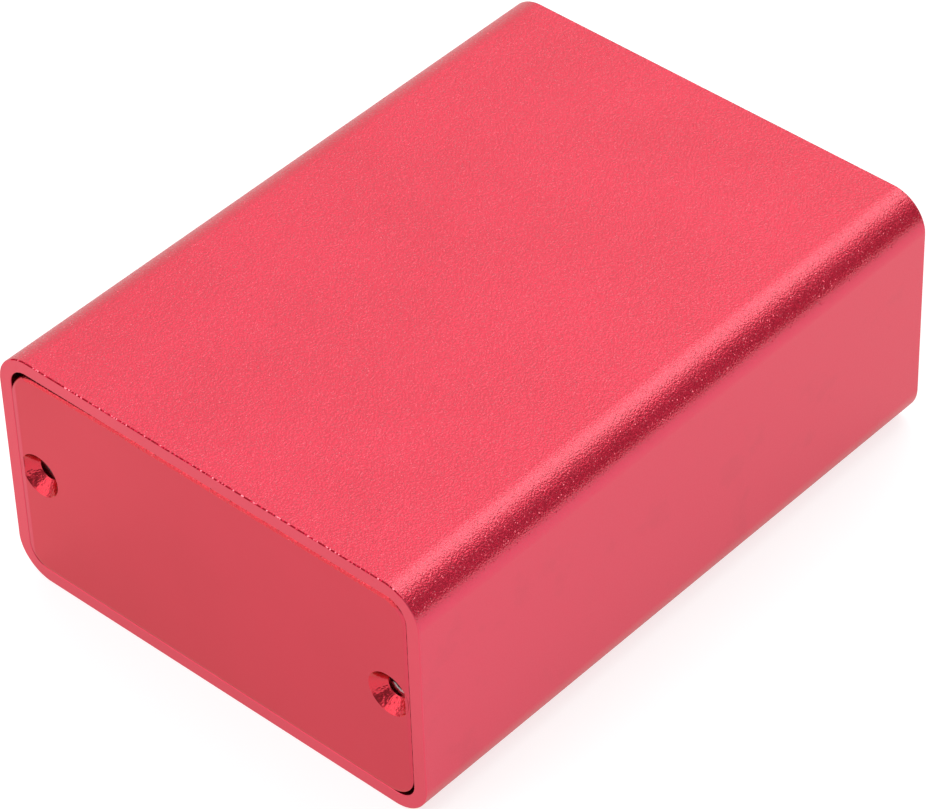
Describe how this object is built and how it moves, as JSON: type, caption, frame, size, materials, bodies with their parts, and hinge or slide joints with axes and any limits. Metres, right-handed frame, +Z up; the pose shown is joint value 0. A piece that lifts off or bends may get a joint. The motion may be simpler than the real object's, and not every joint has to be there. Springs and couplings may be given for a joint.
{
  "type": "extruded aluminium enclosure",
  "caption": "Rounded rectangular aluminium case: a hollow extruded tube with inner screw channels and board slots, closed by inset end plates with countersunk screw holes.",
  "frame": {"origin": "middle of the flat underside", "axes": "+Z up from the underside to the top, +Y along the extrusion from the front end plate to the rear one, +X across the width"},
  "size_m": [0.0734, 0.1, 0.0386],
  "materials": {
    "anodised_tube": "bead-blasted and anodised red, with a fine satin sparkle",
    "anodised_plate": "anodised red, smoother than the tube",
    "zinc_screw": "bright zinc plated steel"
  },
  "bodies": {
    "root": {"front_panel": "anodised_plate", "case_tube": "anodised_tube", "rear_panel": "anodised_plate", "rear_screw_left": "zinc_screw", "rear_screw_right": "zinc_screw"}
  },
  "joints": []
}
